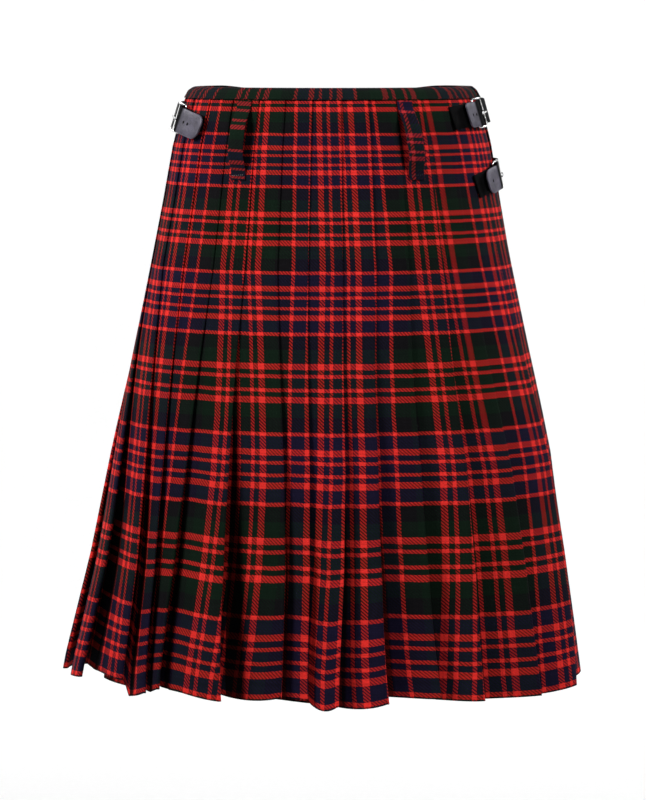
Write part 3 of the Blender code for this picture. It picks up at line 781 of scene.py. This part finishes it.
def buckle(strap, material):
    """The frame that the strap runs through, and the prong across it."""
    bar, side = strap.bar, strap.side
    far = strap.far + side * BAR_AHEAD[strap.key]
    half = STRAP_WIDE / 2 + 0.6 * MM + ROD
    near_out = WALL / 2 + 3.0 * SEAM + TAB + ROD
    far_out = STRAP_UNDER + LEATHER / 2 + SEAM + ROD + BAR_RISE[strap.key]
    corners = np.array(((bar, near_out, half), (far, far_out, half), (far, far_out, -half),
                        (bar, near_out, -half)))
    points = []
    for n, corner in enumerate(corners):
        ends, after = [], corners[(n + 1) % 4]
        for other in (corners[n - 1], after):
            gap = math.hypot(other[0] - corner[0], other[2] - corner[2])
            ends.append(corner + (other - corner) * BUCKLE_CORNER / gap)
        points += [rounded(ends[0], corner, ends[1], t) for t in np.linspace(0.0, 1.0, 8)]
        points += [ends[1] + (after - ends[1]) * t * 0.95 for t in (0.25, 0.5, 0.75)]
    tube("buckle_" + strap.key, [strap.line(*point) for point in points], True, ROD, material)
    top = STRAP_OVER + LEATHER / 2 + SEAM + PRONG
    over = far_out + ROD + SEAM + PRONG
    path = np.array(((bar + side * 1.0 * MM, top), (bar + side * 6.0 * MM, top),
                     (far + side * 1.8 * MM, over)))
    points = []
    for t in np.linspace(0.0, 1.0, 12):
        arc, out = rounded(*path, t)
        points.append(strap.line(arc, out + PRONG_ARCH * 4 * t * (1 - t), 0.0))
    tube("prong_" + strap.key, points, False, PRONG, material)


def lozenges(name, spots, material):
    """Small rounded bodies, each by its middle, half length, half width and height."""
    points, faces = [], []
    for middle, long, wide, high in spots:
        faces += closed(4, 10, len(points))
        points += [middle + long * share * math.cos(t) + wide * share * math.sin(t) + high * lift
                   for lift, share in LOZENGE for t in np.radians(36.0 * np.arange(10))]
    mesh = smooth_mesh(name, [tuple(p) for p in points], faces)
    return link(name, mesh, material, replaces=False)


def on_strap(strap, path, arc, up):
    """A point on the strap's outer face, and the directions along, up and out there."""
    side = strap.side
    out = np.interp(side * arc, side * path[:, 0], path[:, 1]) + LEATHER / 2
    _, rise, normal = strap.frame(arc)
    along = strap.line(arc + 0.5 * MM, out, up) - strap.line(arc - 0.5 * MM, out, up)
    return strap.line(arc, out, up), unit(along), unit(rise), unit(normal)


def holes(strap, path):
    """Holes near the strap's tip: a pressed ring of leather round each, and a dark disc in it for
    painted shade inside the hole.
    """
    rings, inside = [], []
    for back in HOLES[strap.key]:
        spot, along, rise, normal = on_strap(strap, path, strap.tip + strap.side * back * MM, 0.0)
        rings.append((spot, along * HOLE_RING, rise * HOLE_RING, normal * 0.13 * MM))
        inside.append((spot + normal * 0.10 * MM, along * HOLE, rise * HOLE, normal * 0.06 * MM))
    lozenges("hole_rings_" + strap.key, rings, LEATHER_BLACK)
    lozenges("holes_" + strap.key, inside, DARK)


def strap_stitches(strap, path):
    """The sewn box that holds the strap's far end."""
    near, far = (strap.end - strap.side * x * MM for x in (4.0, 26.0))
    corners = np.array(((near, BOX_HALF), (near, -BOX_HALF), (far, -BOX_HALF), (far, BOX_HALF)))
    spots = []
    for n, corner in enumerate(corners):
        for i in range(count := (6, 8)[n % 2]):
            arc, up = corner + (corners[(n + 1) % 4] - corner) * ((i + 0.5) / count)
            spot, along, rise, normal = on_strap(strap, path, arc, up)
            long, wide = (rise, along) if n % 2 == 0 else (along, rise)
            spots.append((spot, long * 1.0 * MM, wide * 0.3 * MM, normal * 0.22 * MM))
    lozenges("strap_stitches_" + strap.key, spots, BLACK_THREAD)


def loop_stitches(key, material):
    """The row of stitches that holds the loop's lower end."""
    top, low, *_ = LOOPS[key]
    z = LOOP_LOW + 4.5 * MM
    level = Level(z)
    middle = level.arc(top + (low - top) * (LOOP_TOP - z) / (LOOP_TOP - LOOP_LOW))
    ends = []
    for across in (-6.8, 6.8):
        arc = middle + across * MM
        angle, out = level.angle(arc), level.surface(arc) + WALL / 2 + SEAM + 1.9 * MM
        ends.append(place(angle, out, z + 0.08 * across * MM))
    normal = place(angle, 1.0, z) - place(angle, 0.0, z)
    run = ends[1] - ends[0]
    along = unit(run)
    stitches = [(ends[0] + run * ((i + 0.5) / 6), along * 0.75 * MM,
                 np.cross(normal, along) * 0.275 * MM, normal * 0.3 * MM) for i in range(6)]
    lozenges("loop_stitches_" + key, stitches, material)


class Nodes:
    """A material's node tree."""

    def __init__(self, name):
        self.material = bpy.data.materials.new(name)
        self.material.use_nodes = True
        self.tree = self.material.node_tree

    def set(self, socket, value):
        if isinstance(value, bpy.types.NodeSocket):
            self.tree.links.new(value, socket)
        elif value is not None:
            socket.default_value = value

    def add(self, kind, *values, inputs=None, **settings):
        """A new shader node's outputs. Its inputs are given in order, or by number or name."""
        node = self.tree.nodes.new("ShaderNode" + kind)
        for key, value in settings.items():
            setattr(node, key, value)
        for key, value in (inputs or dict(enumerate(values))).items():
            self.set(node.inputs[key], value)
        return node.outputs

    def math(self, operation, *values):
        return self.add("Math", *values, operation=operation)[0]

    def times(self, *values):
        return self.math("MULTIPLY", *values)

    def spread(self, value, a, b, low=0.0, high=1.0):
        """value from a to b, taken to low to high and held there."""
        return self.add("MapRange", value, a, b, low, high)[0]

    def noise(self, vector, scale, detail=2.0, rough=0.5):
        inputs = {"Vector": vector, "Scale": scale, "Detail": detail, "Roughness": rough}
        return self.add("TexNoise", inputs=inputs, noise_dimensions="3D")["Fac"]

    def mix(self, share, a, b, blend="MIX"):
        inputs = {0: share, 6: a, 7: b}
        return self.add("Mix", inputs=inputs, data_type="RGBA", blend_type=blend)[2]

    def toned(self, colour, tone):
        """The colour, as bright as the tone says."""
        grey = self.add("CombineXYZ", tone, tone, tone)[0]
        return self.mix(1.0, colour, grey, "MULTIPLY")

    def bump(self, height, strength, distance):
        inputs = {"Height": height, "Strength": strength, "Distance": distance}
        return self.add("Bump", inputs=inputs)["Normal"]

    def map(self, name):
        return self.add("UVMap", uv_map=name)[0]

    def place(self):
        return self.add("TexCoord")["Object"]

    def wire(self, **sockets):
        inputs = self.tree.nodes["Principled BSDF"].inputs
        for name, value in sockets.items():
            self.set(inputs[name.replace("_", " ")], value)
        return self.material


def tartan(name, red):
    """Wool in a twill. Lengthwise and crosswise threads both run through the sett."""
    n = Nodes(name)
    dye_of = {**DYES, "red": red}
    spot, where = n.add("SeparateXYZ", n.map("cloth")), n.place()
    z = n.add("SeparateXYZ", where)[2]
    drift = n.times(n.math("SUBTRACT", n.noise(where, 55.0, 3.0), 0.5), DRIFT)
    setts = [n.math("ADD", spot[axis], drift) for axis in range(2)]
    threads = [n.times(setts[0], THREADS),
               n.math("ADD", n.math("DIVIDE", z, -WEFT_PITCH), n.times(drift, 60.0))]
    dyes, whole = [], [n.math("FLOOR", thread) for thread in threads]
    for x, thread in zip(setts, whole):
        ramp = n.tree.nodes.new("ShaderNodeValToRGB")
        ramp.color_ramp.interpolation = "CONSTANT"
        stops, run = ramp.color_ramp.elements, 0.0
        for i, (dye, count) in enumerate(SETT):
            stop = stops[0] if i == 0 else stops.new(run / THREADS)
            stop.color = (*dye_of[dye], 1.0)
            run += count
        last = stops[len(SETT)]
        last.position, last.color = 1.0, (*DYES["blue"], 1.0)
        n.tree.links.new(n.math("PINGPONG", x, 1.0), ramp.inputs[0])
        shade = n.add("TexWhiteNoise", None, thread, noise_dimensions="1D")[0]
        dyes.append(n.toned(ramp.outputs[0], n.spread(shade, 0.0, 1.0, 0.84, 1.16)))
    # Where the thread on top is a lengthwise one, its colour shows more.
    slant = n.math("FRACT", n.math("DIVIDE", n.math("SUBTRACT", *whole), TWILL))
    over = n.math("LESS_THAN", slant, 0.49)
    colour = n.mix(n.spread(over, 0.0, 1.0, *WARP_SHOWS), dyes[1], dyes[0])
    # Where a red thread crosses a dark one, both look darker than where like crosses like.
    reds = [n.add("SeparateColor", dye)[0] for dye in dyes]
    shadow = n.spread(n.math("ABSOLUTE", n.math("SUBTRACT", *reds)), 0.0, 0.5, 1.0, 0.60)
    wool = n.spread(n.noise(where, 1500.0, 2.0, 0.7), 0.25, 0.75, 0.80, 1.22)
    cloud = n.spread(n.noise(where, 14.0, 3.0), 0.3, 0.7, 0.93, 1.07)
    tone = n.times(shadow, n.times(wool, cloud))
    # Painted shade: cloth deep at the foot of a fold is darkened, down to 0.12 of its tone.
    deep = n.add("SeparateXYZ", n.map("crease"))[0]
    tone = n.times(tone, n.spread(deep, 0.44, 0.52, 1.0, 0.12))
    rounds = [n.math("SINE", n.times(n.math("FRACT", thread), math.pi)) for thread in threads]
    height = n.add("Mix", over, None, rounds[1], rounds[0], data_type="FLOAT")[0]
    ridge = n.math("SINE", n.times(slant, 2 * math.pi))
    height = n.math("ADD", height, n.times(ridge, 0.8))
    fuzz = n.noise(where, 900.0, 2.0, 0.7)
    height = n.math("ADD", height, n.times(fuzz, 0.8))
    return n.wire(Base_Color=n.toned(colour, tone), Normal=n.bump(height, 0.5, 0.12 * MM),
                  Roughness=n.spread(fuzz, 0.3, 0.7, 0.78, 0.95), Specular_IOR_Level=0.06,
                  Sheen_Weight=0.015, Sheen_Roughness=0.4)


def leather(name, free, black, rough, specular):
    """Its free end, before the buckle, is glossier than the rest and paler: a painted reflection.
    """
    n = Nodes(name)
    where, marks = n.place(), n.add("SeparateXYZ", n.map("along"))
    free_end_sheen = n.spread(marks[0], 2.5, 5.0)
    edge = n.spread(n.math("ABSOLUTE", marks[1]), 0.86, 1.0)
    inputs = {"Vector": where, "Scale": 1100.0}
    cells = n.add("TexVoronoi", inputs=inputs, feature="DISTANCE_TO_EDGE")
    grain = n.spread(cells["Distance"], 0.0, 0.16)
    crease = n.noise(where, 260.0, 4.0, 0.6)
    # Painted reflection: the free end's pale colour, in patches, and up to half again as light at
    # its edges as a painted highlight.
    wear_and_sheen = n.spread(n.noise(where, 70.0, 4.0, 0.65), 0.40, 0.72, 0.55, 1.25)
    pale = n.toned((*free, 1.0), n.times(wear_and_sheen, n.spread(edge, 0.0, 1.0, 1.0, 1.5)))
    colour = n.mix(n.times(free_end_sheen, n.spread(grain, 0.0, 1.0, 0.6, 1.0)),
                   (*black, 1.0), pale)
    height = n.math("ADD", grain, n.times(crease, 1.2))
    dull = n.spread(free_end_sheen, 0.0, 1.0, 0.35, 0.0)
    if specular > DULL_SPECULAR:
        specular = n.spread(free_end_sheen, 0.0, 1.0, DULL_SPECULAR, specular)
    rough = n.math("ADD", n.spread(crease, 0.3, 0.7, rough, rough + 0.14), dull)
    return n.wire(Base_Color=colour, Roughness=rough, Specular_IOR_Level=specular,
                  Normal=n.bump(height, 0.35, 0.12 * MM))


def steel():
    n = Nodes("polished_steel")
    where = n.place()
    scuffs, clouds = n.noise(where, 420.0, 5.0, 0.7), n.noise(where, 90.0)
    colour = n.mix(n.spread(clouds, 0.35, 0.65), (0.70, 0.71, 0.72, 1.0), (0.80, 0.80, 0.80, 1.0))
    return n.wire(Base_Color=colour, Roughness=n.spread(scuffs, 0.35, 0.7, 0.12, 0.30),
                  Metallic=1.0, Normal=n.bump(scuffs, 0.12, 0.06 * MM))


def speckled(name, grain, ends, dark, light, bump, **sockets):
    """Two colours mixed by a noise, held between two ends of it if given."""
    n = Nodes(name)
    speck = n.noise(n.place(), *grain)
    share = n.spread(speck, *ends) if ends else speck
    return n.wire(Base_Color=n.mix(share, (*dark, 1.0), (*light, 1.0)),
                  Normal=n.bump(speck, *bump) if bump else None, **sockets)


def thread(name, dark, light):
    return speckled(name, (2600.0, 2.0, 0.6), (0.35, 0.65), dark, light, (0.4, 0.08 * MM),
                    Roughness=0.7)


def backdrop():
    """A pale floor that runs up into a wall."""
    profile = [(-PAPER_HALF, FLOOR), (PAPER_BEND, FLOOR)]
    profile += [(PAPER_BEND + PAPER_ROUND * math.sin(a), FLOOR + PAPER_ROUND * (1 - math.cos(a)))
                for a in np.radians(np.linspace(7.5, 90.0, 12))]
    profile.append((PAPER_BEND + PAPER_ROUND, PAPER_TOP))
    points = [(x, y, z) for x in (-PAPER_HALF, PAPER_HALF) for y, z in profile]
    k = len(profile)
    faces = [(i, k + i, k + i + 1, i + 1) for i in range(k - 1)]
    obj = placed("backdrop", smooth_mesh("backdrop", points, faces))
    obj.data.materials.append(speckled("studio_paper", (120.0, 3.0), None, (0.86, 0.86, 0.86),
                                       (0.90, 0.90, 0.90), None, Roughness=0.9,
                                       Specular_IOR_Level=0.1))


def softbox(name, spot, size, power, aim, spread=180.0):
    """A rectangular lamp, its power in watts, turned towards its aim."""
    light = bpy.data.lights.new(name, "AREA")
    light.shape, light.size, light.size_y, light.energy = "RECTANGLE", *size, power
    light.spread = math.radians(spread)
    obj = placed(name, light, spot)
    x, y, z = np.array(spot) - np.array(aim)
    obj.rotation_euler = (math.atan2(math.hypot(x, y), z), 0.0, math.atan2(x, -y))


def camera():
    """Looks forward and a little down at the middle of the back."""
    data = bpy.data.cameras.new("camera")
    data.sensor_fit, data.sensor_height, data.lens = "VERTICAL", 36.0, LENS
    obj = placed("camera", data, CAMERA)
    obj.rotation_euler = (math.radians(90.0 - TILT), 0.0, 0.0)
    bpy.context.scene.camera = obj


camera()
TARTAN, TRIM_TARTAN = tartan("tartan", DYES["red"]), tartan("trim_tartan", TRIM_RED)
# The strap's free end takes a pale bluish grey: a painted reflection on black leather.
LEATHER_BLACK = leather("black_leather", (0.118, 0.107, 0.150), (0.004, 0.004, 0.005), 0.30, 0.5)
TAB_BLACK = leather("tab_leather", (0.0022, 0.0020, 0.0025), (0.002, 0.002, 0.002), 0.55, 0.03)
STEEL = steel()
# Painted shade: the near-black discs that stand for the inside of each hole.
DARK = speckled("painted_hole_shade", (1800.0, 2.0), None, (0.002, 0.002, 0.002), (0.012, 0.011, 0.010),
                (0.3, 0.1 * MM), Roughness=0.95)
BLACK_THREAD = thread("black_thread", (0.008, 0.008, 0.009), (0.030, 0.030, 0.032))
PALE_THREAD = thread("pale_thread", (0.10, 0.09, 0.09), (0.30, 0.27, 0.26))

outer = cloth("length_outer", outer_length, TARTAN)
under = cloth("length_under", under_length, TARTAN)
waist = band("waistband", TRIM_TARTAN)
loops = [belt_loop(key, TRIM_TARTAN) for key in LOOPS]
loop_stitches("left", PALE_THREAD)
loop_stitches("right", BLACK_THREAD)
for key in STRAPS:
    run = Strap(key)
    path = leather_strip("strap_" + key, run, strap_path(run), LEATHER, LEATHER_BLACK,
                         STRAP_ROUND)
    leather_strip("tab_" + key, run, tab_path(run), TAB, TAB_BLACK, TAB_ROUND)
    buckle(run, STEEL)
    holes(run, path)
    strap_stitches(run, path)

backdrop()
for where, side, power in (("left", -1.0, 15.2), ("right", 1.0, 10.8)):
    softbox("softbox_" + where, (2.06 * side, -1.34, 1.05), (0.9, 1.1), power,
            (-0.3 * side, 0.0, 0.12), 80.0)
    softbox("wall_" + where, (2.6 * side, 1.6, 1.6), (1.5, 1.5), 110.0, (-0.5 * side, 5.0, 0.4))
world = bpy.data.worlds.new("studio")
bpy.context.scene.world = world
world.use_nodes = True
background = world.node_tree.nodes["Background"].inputs
background["Color"].default_value = (1.0, 1.0, 1.0, 1.0)
background["Strength"].default_value = 0.08
bpy.context.scene.view_settings.view_transform = "Standard"
